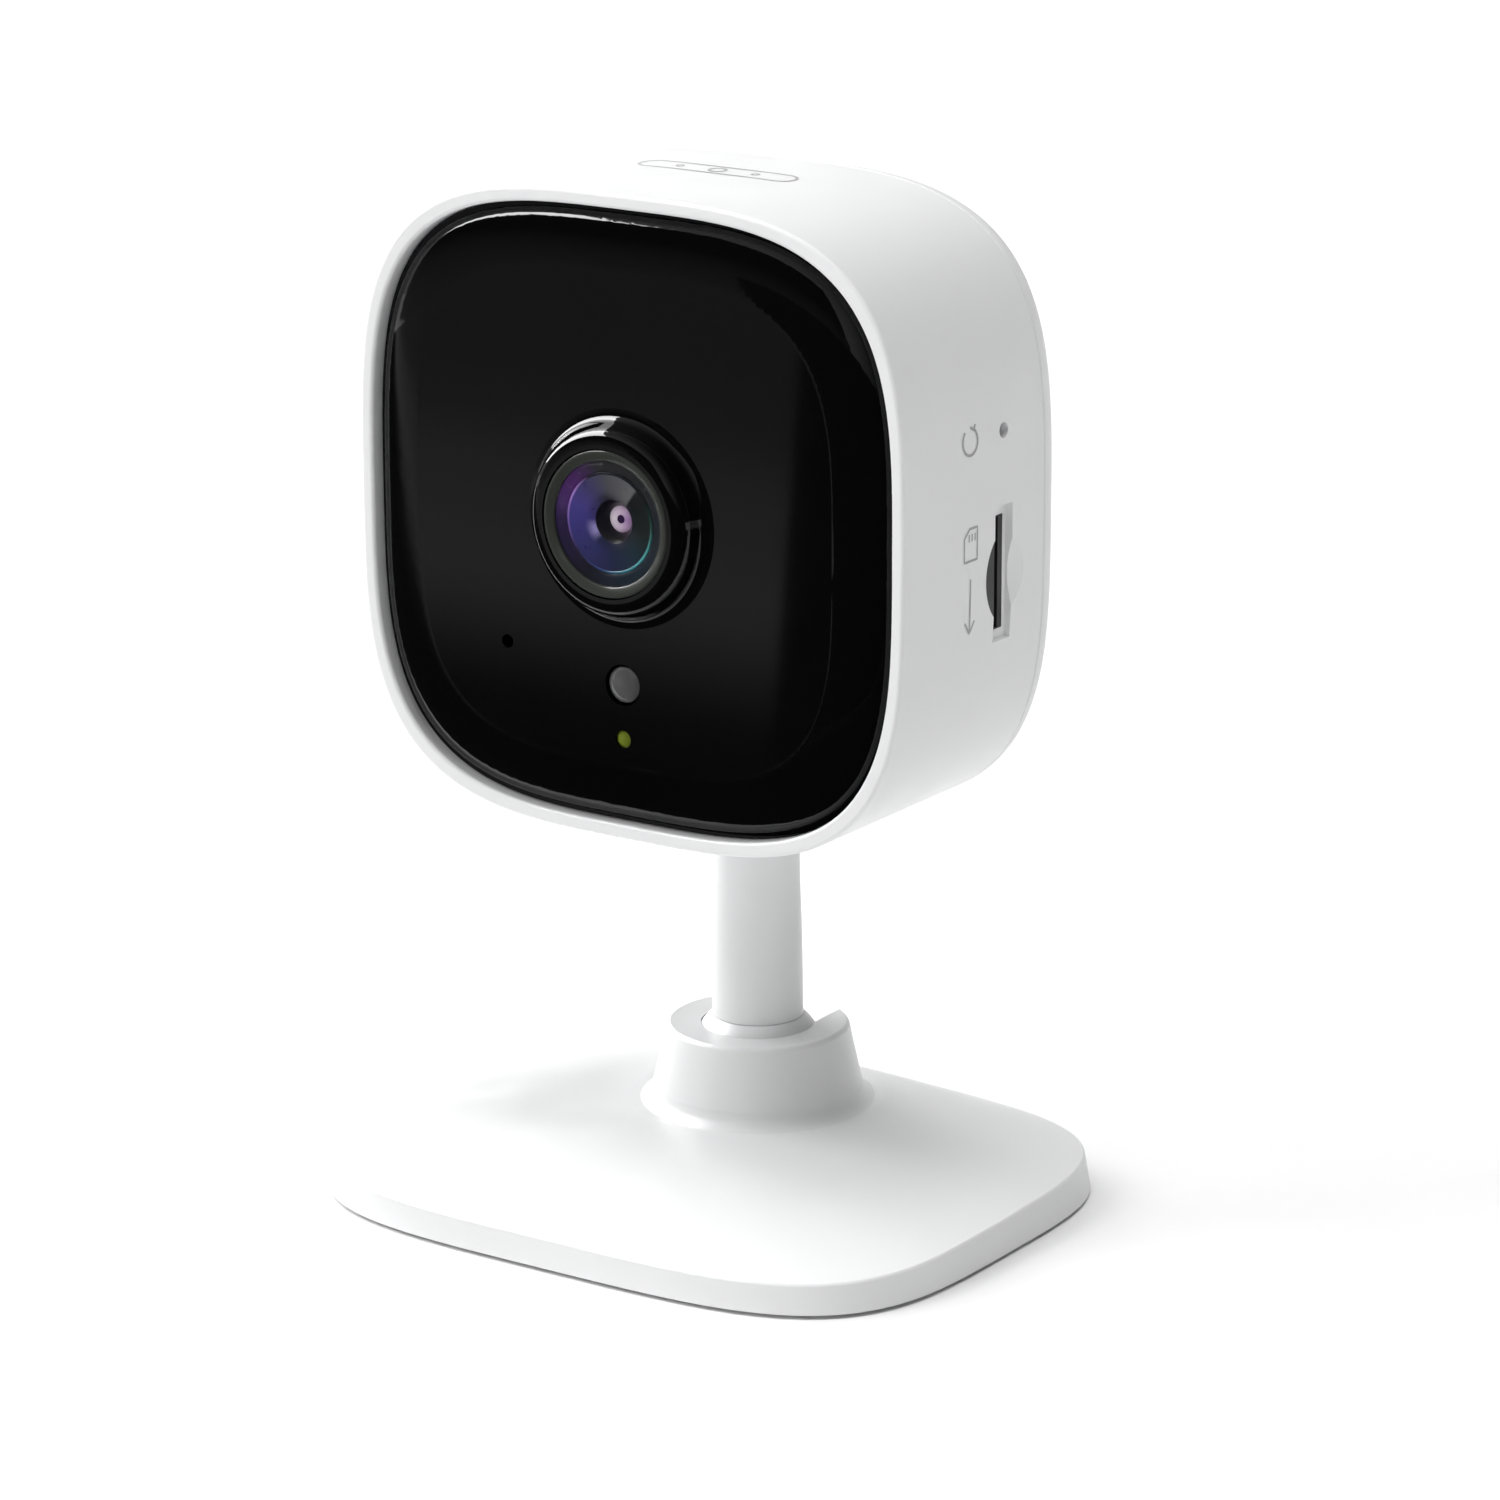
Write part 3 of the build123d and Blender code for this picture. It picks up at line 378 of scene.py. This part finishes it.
# Half sections of the optics: (radius, depth behind the trim ring's face) in millimetres.
TRIM = ((6.95, 2.2), (6.95, 0.34), (6.91, 0.2), (6.82, 0.08), (6.7, 0.03), (6.55, 0.05), (6.4, 0.12),
        (5.97, 0.3), (5.9, 0.36), (5.87, 0.5), (5.87, 2.2))
FRONT_GLASS = ((5.86, 1.0), (5.86, 0.45), (5.4, 0.2), (4.6, 0.0), (3.6, -0.15), (2.4, -0.27),
               (1.2, -0.33), (0, -0.35))
GLASS_EDGE = ((5.86, 0.62), (5.6, 0.66), (5.2, 0.74), (4.8, 0.86), (4.72, 0.95))
RETAINER = ((4.75, 0.95), (4.72, 0.84), (4.64, 0.78), (4.55, 0.8), (4.48, 0.9))
BOWL = ((4.5, 0.86), (4.1, 0.93), (3.5, 1.05), (2.9, 1.2), (2.4, 1.38), (2.05, 1.55))
IRIS_CONE = ((2.05, 1.55), (1.98, 1.62), (1.6, 2.1), (1.28, 2.62), (1.24, 2.75))
PUPIL = ((1.25, 2.72), (1.1, 2.62), (0.8, 2.55), (0.5, 2.58), (0.4, 2.66))
PUPIL_MIDDLE = ((0.42, 2.68), (0.3, 2.62), (0.15, 2.58), (0, 2.57))


def lens_optics():
    """Trim ring, front glass and the coated parts that are seen through it, from front to back; the coated
    parts carry painted reflections and highlights.
    """
    trim_ring = turned("lens_trim_ring", TRIM, MATERIALS["lens_trim"], LENS_PLACE)
    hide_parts("lens_ring")
    front = turned("lens_front_glass", FRONT_GLASS, clear_glass(), LENS_PLACE)
    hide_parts("lens_front_element")
    edge = coating_with_painted_reflection("lens_edge_painted_reflection", EDGE_PAINTED_REFLECTION_STOPS)
    turned("lens_glass_edge", GLASS_EDGE, edge, LENS_PLACE)
    retainer = coating_with_painted_reflection("lens_retainer_painted_highlight", ARC_PAINTED_HIGHLIGHT_STOPS, 0.2)
    turned("lens_retainer", RETAINER, retainer, LENS_PLACE)
    bowl = coating_with_painted_reflection("lens_bowl_painted_reflection", BOWL_PAINTED_REFLECTION_STOPS, 0.3, 0.25, (GLINT_STOPS, GLINT_START, GLINT_END))
    second = turned("lens_second_element", BOWL, bowl, LENS_PLACE)
    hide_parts("lens_inner_element")
    iris = moulded("lens_iris", (0.002, 0.002, 0.002), (0.003, 0.003, 0.003), 0.35)
    turned("lens_iris_cone", IRIS_CONE, iris, LENS_PLACE)
    pupil = coating_with_painted_reflection("lens_pupil_painted_highlight", PUPIL_PAINTED_HIGHLIGHT_STOPS, 0.15, 0.5)
    turned("lens_pupil_element", PUPIL, pupil, LENS_PLACE)
    middle = moulded("lens_pupil_centre", (0.035, 0.012, 0.06), (0.04, 0.015, 0.07), 0.1)
    turned("lens_pupil_middle", PUPIL_MIDDLE, middle, LENS_PLACE)


lens_optics()


# ---- printed pictograms on the head ----
head_low, head_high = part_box("head_shell")
HEAD_HALF = (head_high.x - head_low.x) / 2
HEAD_Z = (head_high.z + head_low.z) / 2
HEAD_POWER = 3.46
PRINT_LIFT = 0.02 * MM


def side_height(offset):
    """Distance of the head's flank from its middle plane, at an offset along the flank."""
    return HEAD_HALF * (1 - abs(offset / HEAD_HALF) ** HEAD_POWER) ** (1 / HEAD_POWER)


def printed(name, shapes, place):
    """Ink strokes laid on the head by place(u, v), from (verts, faces) shapes in millimetres."""
    verts = []
    faces = []
    for shape_verts, shape_faces in shapes:
        base = len(verts)
        verts += [place(v[0] * MM, v[1] * MM) for v in shape_verts]
        faces += [tuple(base + index for index in face) for face in shape_faces]
    return new_piece(name, verts, faces, INK)


def on_right(u, v):
    """u runs to the rear and v up, on the +X flank."""
    return (side_height(v - HEAD_Z) + PRINT_LIFT, u, v)


def on_top(u, v):
    """u runs along X and v to the rear, on the head's top."""
    return (u, v, HEAD_Z + side_height(u) + PRINT_LIFT)


INK = moulded("grey_ink", (0.36, 0.36, 0.365), (0.4, 0.4, 0.405), 0.5)


def reset_pictogram():
    """Open circle with an arrow head, next to the reset hole."""
    circle = stroke(arc((-2.1, 77.9), 1.25, 130, 420, 24), 0.26)
    head = stroke([(-1.15, 79.35), (-1.45, 78.85), (-2.0, 79.2)], 0.24)
    printed("reset_pictogram", [circle, head], on_right)


def card_pictogram():
    """Memory card with its three contacts, over an arrow that points down, next to the card slot."""
    outline = [(-3.2, 66.9), (-1.0, 66.9), (-1.0, 69.9), (-2.3, 69.9), (-3.2, 69.1)]
    shapes = [stroke(outline, 0.22, True)]
    for step in range(3):
        contact = -2.4 + 0.5 * step
        shapes.append(stroke([(contact, 68.7), (contact, 69.4)], 0.2))
    middle = -2.1
    shapes.append(stroke([(middle, 60.2), (middle, 65.2)], 0.24))
    shapes.append(stroke([(-2.9, 61.2), (middle, 60.1), (-1.3, 61.2)], 0.24))
    printed("card_pictogram", shapes, on_right)


def top_pictogram():
    """Long rounded frame with one ring between two small ones, on the top."""
    row = 2.0
    frame_line = arc((-7.0, row), 1.5, 90, 270) + arc((7.0, row), 1.5, -90, 90)
    shapes = [stroke(frame_line, 0.3, True), stroke(arc((0, row), 0.8, 0, 345, 24), 0.3, True)]
    for x in (-4.2, 4.2):
        shapes.append(stroke(arc((x, row), 0.35, 0, 330, 12), 0.25, True))
    printed("top_pictogram", shapes, on_top)


reset_pictogram()
card_pictogram()
top_pictogram()


# ---- camera, light and floor ----
CAMERA_AZIMUTH = math.radians(34.116)
CAMERA_ELEVATION = math.radians(16.016)
CAMERA_ROLL = math.radians(-0.142)
CAMERA_DISTANCE = 549.19 * MM
CAMERA_TARGET = Vector((-0.821, 8.29, 41.752)) * MM
SENSOR_MM = 36.0
LENS_MM = 137.63


def make_camera():
    data = bpy.data.cameras.new("camera")
    data.sensor_width = SENSOR_MM
    data.lens = LENS_MM
    data.clip_start = 0.01
    data.clip_end = 50
    camera = bpy.data.objects.new("camera", data)
    scene.collection.objects.link(camera)
    sin_a = math.sin(CAMERA_AZIMUTH)
    cos_a = math.cos(CAMERA_AZIMUTH)
    flat = math.cos(CAMERA_ELEVATION)
    back = Vector((sin_a * flat, -cos_a * flat, math.sin(CAMERA_ELEVATION)))
    right = Vector((cos_a, sin_a, 0))
    up = back.cross(right)
    turned_right = right * math.cos(CAMERA_ROLL) + up * math.sin(CAMERA_ROLL)
    turned_up = up * math.cos(CAMERA_ROLL) - right * math.sin(CAMERA_ROLL)
    axes = Matrix((turned_right, turned_up, back)).transposed().to_4x4()
    camera.matrix_world = Matrix.Translation(CAMERA_TARGET + back * CAMERA_DISTANCE) @ axes
    scene.camera = camera


# Sky: an even level, plus lobes as (direction, sharpness, level).
SKY_LEVEL = 0.02
SKY_LOBES = (((-1, 0, 0.3), 2, 0.4), ((-0.45, -1, 0.3), 2, 0.8), ((-0.5, 1, 0.3), 2, 0.35))
# Even lights: name, direction that they come from, angle across in degrees, strength.
SUNS = (("overhead", (0, 0, 1), 30, 1.6), ("overhead_right", (0.4, 0.1, 0.9), 25, 0.5),
        ("key", (-0.5, -0.45, 0.74), 25, 1.0), ("left", (-0.85, -0.1, 0.5), 25, 0.55))
FLOOR_REACH = 4.0
# Flag that lies on the floor: left, right, front and near edge, its lift, and greys from near to far.
FLAG_WIDE = (-0.75, 0.6, -0.8, -0.03)
FLAG_LIFT = 0.0008
FLAG_NEAR = -0.13
FLAG_FAR = -0.33
FLAG_GREYS = ((0, 0.02), (0.12, 0.05), (0.42, 0.5), (0.62, 0.42), (0.85, 0.25), (1, 0.22))
# Upright flag in front: its left edge leans from the low to the high place.
FLAG_EDGE_Y = -0.15
FLAG_EDGE_LOW = -0.075
FLAG_EDGE_HIGH = -0.067
FLAG_EDGE_RIGHT = 0.6
FLAG_EDGE_TOP = 0.1
# Tall grey card at the front left, and the height over which its glow fades.
FLAG_TALL_WAY = (-0.56, -0.83, 0)
FLAG_TALL_REACH = 0.75
FLAG_TALL_HALF = 0.6
FLAG_TALL_TOP = 0.72
FLAG_TALL_GLOW = (0.2, 0.02)
FLAG_TALL_FADE = (0.0, 0.3)
# Softbox from above to the rear left, as corners from the lens.
SOFTBOX_WAYS = ((-0.539, -0.5, 0.65), (-0.539, 0.35, 0.84), (-0.8, 0.6, 0.03), (-0.984, -0.07, 0.1))
SOFTBOX_GLOW = (14, 24)
SOFTBOX_FADE = (0.1, 0.8)


def make_world():
    """Soft studio surround: an even level plus broad lobes of light from a few directions."""
    world = bpy.data.worlds.new("studio")
    world.use_nodes = True
    scene.world = world
    tree = world.node_tree
    shade = tree.nodes["Background"]
    shade.inputs["Color"].default_value = (1, 1, 1, 1)
    place = tree.nodes.new("ShaderNodeTexCoord")
    total = tree.nodes.new("ShaderNodeValue")
    total.outputs[0].default_value = SKY_LEVEL
    total = total.outputs[0]
    for direction, sharpness, level in SKY_LOBES:
        towards = tree.nodes.new("ShaderNodeVectorMath")
        towards.operation = "DOT_PRODUCT"
        towards.inputs[1].default_value = Vector(direction).normalized()
        tree.links.new(place.outputs["Generated"], towards.inputs[0])
        positive = tree.nodes.new("ShaderNodeMath")
        positive.operation = "MAXIMUM"
        positive.inputs[1].default_value = 0
        tree.links.new(towards.outputs["Value"], positive.inputs[0])
        lobe = tree.nodes.new("ShaderNodeMath")
        lobe.operation = "POWER"
        lobe.inputs[1].default_value = sharpness
        tree.links.new(positive.outputs["Value"], lobe.inputs[0])
        add = tree.nodes.new("ShaderNodeMath")
        add.operation = "MULTIPLY_ADD"
        add.inputs[1].default_value = level
        tree.links.new(lobe.outputs["Value"], add.inputs[0])
        tree.links.new(total, add.inputs[2])
        total = add.outputs["Value"]
    tree.links.new(total, shade.inputs["Strength"])


def sun_light(name, direction, softness, strength):
    """Even light from a direction; softness is the light's angle in degrees."""
    data = bpy.data.lights.new(name, "SUN")
    data.energy = strength
    data.angle = math.radians(softness)
    light = bpy.data.objects.new(name, data)
    light.rotation_euler = Vector(direction).to_track_quat("Z", "Y").to_euler()
    light.visible_glossy = False
    scene.collection.objects.link(light)


def plane(name, corners, material):
    mesh = bpy.data.meshes.new(name)
    mesh.from_pydata(corners, [], [(0, 1, 2, 3)])
    mesh.materials.append(material)
    sheet = bpy.data.objects.new(name, mesh)
    scene.collection.objects.link(sheet)
    return sheet


def make_floor():
    reach = FLOOR_REACH
    floor = moulded("pale_floor", (0.86, 0.86, 0.86), (0.88, 0.88, 0.88), 0.7)
    plane("floor", [(-reach, -reach, 0), (reach, -reach, 0), (reach, reach, 0), (-reach, reach, 0)], floor)


def flag_material():
    """Dark studio flag that fades to grey away from the object."""
    material = bpy.data.materials.new("studio_flag")
    material.use_nodes = True
    tree = material.node_tree
    tree.nodes.clear()
    output = tree.nodes.new("ShaderNodeOutputMaterial")
    glow = tree.nodes.new("ShaderNodeEmission")
    tree.links.new(glow.outputs["Emission"], output.inputs["Surface"])
    place = tree.nodes.new("ShaderNodeTexCoord")
    split = tree.nodes.new("ShaderNodeSeparateXYZ")
    tree.links.new(place.outputs["Object"], split.inputs["Vector"])
    reach = tree.nodes.new("ShaderNodeMapRange")
    reach.inputs["From Min"].default_value = FLAG_NEAR
    reach.inputs["From Max"].default_value = FLAG_FAR
    tree.links.new(split.outputs["Y"], reach.inputs["Value"])
    level = tree.nodes.new("ShaderNodeValToRGB")
    level.color_ramp.interpolation = "EASE"
    while len(level.color_ramp.elements) < len(FLAG_GREYS):
        level.color_ramp.elements.new(0.5)
    for element, (share, grey) in zip(level.color_ramp.elements, FLAG_GREYS):
        element.position = share
        element.color = (grey, grey, grey, 1)
    tree.links.new(reach.outputs["Result"], level.inputs["Fac"])
    tree.links.new(level.outputs["Color"], glow.inputs["Color"])
    return material


def glow_material(name, glow_levels, fade_heights):
    """Even glow that changes from the first level to the second between two heights."""
    material = bpy.data.materials.new(name)
    material.use_nodes = True
    tree = material.node_tree
    tree.nodes.clear()
    output = tree.nodes.new("ShaderNodeOutputMaterial")
    glow = tree.nodes.new("ShaderNodeEmission")
    tree.links.new(glow.outputs["Emission"], output.inputs["Surface"])
    place = tree.nodes.new("ShaderNodeTexCoord")
    split = tree.nodes.new("ShaderNodeSeparateXYZ")
    tree.links.new(place.outputs["Object"], split.inputs["Vector"])
    level = tree.nodes.new("ShaderNodeMapRange")
    level.inputs["From Min"].default_value = fade_heights[0]
    level.inputs["From Max"].default_value = fade_heights[1]
    level.inputs["To Min"].default_value = glow_levels[0]
    level.inputs["To Max"].default_value = glow_levels[1]
    tree.links.new(split.outputs["Z"], level.inputs["Value"])
    tree.links.new(level.outputs["Result"], glow.inputs["Strength"])
    return material


def reflected_card(name, corners, material):
    """Card that only glossy faces see."""
    sheet = plane(name, corners, material)
    sheet.visible_camera = False
    sheet.visible_diffuse = False
    sheet.visible_transmission = False
    sheet.visible_volume_scatter = False
    sheet.visible_shadow = False


def make_flat_flag():
    left, right, front, near = FLAG_WIDE
    corners = [(x, y, FLAG_LIFT) for x, y in ((left, front), (right, front), (right, near), (left, near))]
    reflected_card("flag_wide", corners, flag_material())


def make_upright_flag():
    dark = moulded("flag_black", (0.002, 0.002, 0.002), (0.003, 0.003, 0.003), 1.0)
    foot = 2 * FLAG_LIFT
    low = [(FLAG_EDGE_LOW, FLAG_EDGE_Y, foot), (FLAG_EDGE_RIGHT, FLAG_EDGE_Y, foot)]
    high = [(FLAG_EDGE_RIGHT, FLAG_EDGE_Y, FLAG_EDGE_TOP), (FLAG_EDGE_HIGH, FLAG_EDGE_Y, FLAG_EDGE_TOP)]
    reflected_card("flag_edge", low + high, dark)


def make_tall_flag():
    towards = Vector(FLAG_TALL_WAY).normalized()
    across = Vector((-towards.y, towards.x, 0))
    left = towards * FLAG_TALL_REACH - across * FLAG_TALL_HALF
    right = towards * FLAG_TALL_REACH + across * FLAG_TALL_HALF
    up = Vector((0, 0, FLAG_TALL_TOP))
    corners = [tuple(corner) for corner in (left, right, right + up, left + up)]
    reflected_card("flag_tall", corners, glow_material("flag_tall_grey", FLAG_TALL_GLOW, FLAG_TALL_FADE))


def make_softbox():
    corners = [tuple(LENS_PLACE + Vector(way)) for way in SOFTBOX_WAYS]
    reflected_card("softbox_card", corners, glow_material("softbox_glow", SOFTBOX_GLOW, SOFTBOX_FADE))


make_camera()
make_world()
make_floor()
make_flat_flag()
make_upright_flag()
make_tall_flag()
make_softbox()
for sun in SUNS:
    sun_light(*sun)
scene.view_settings.view_transform = "Standard"
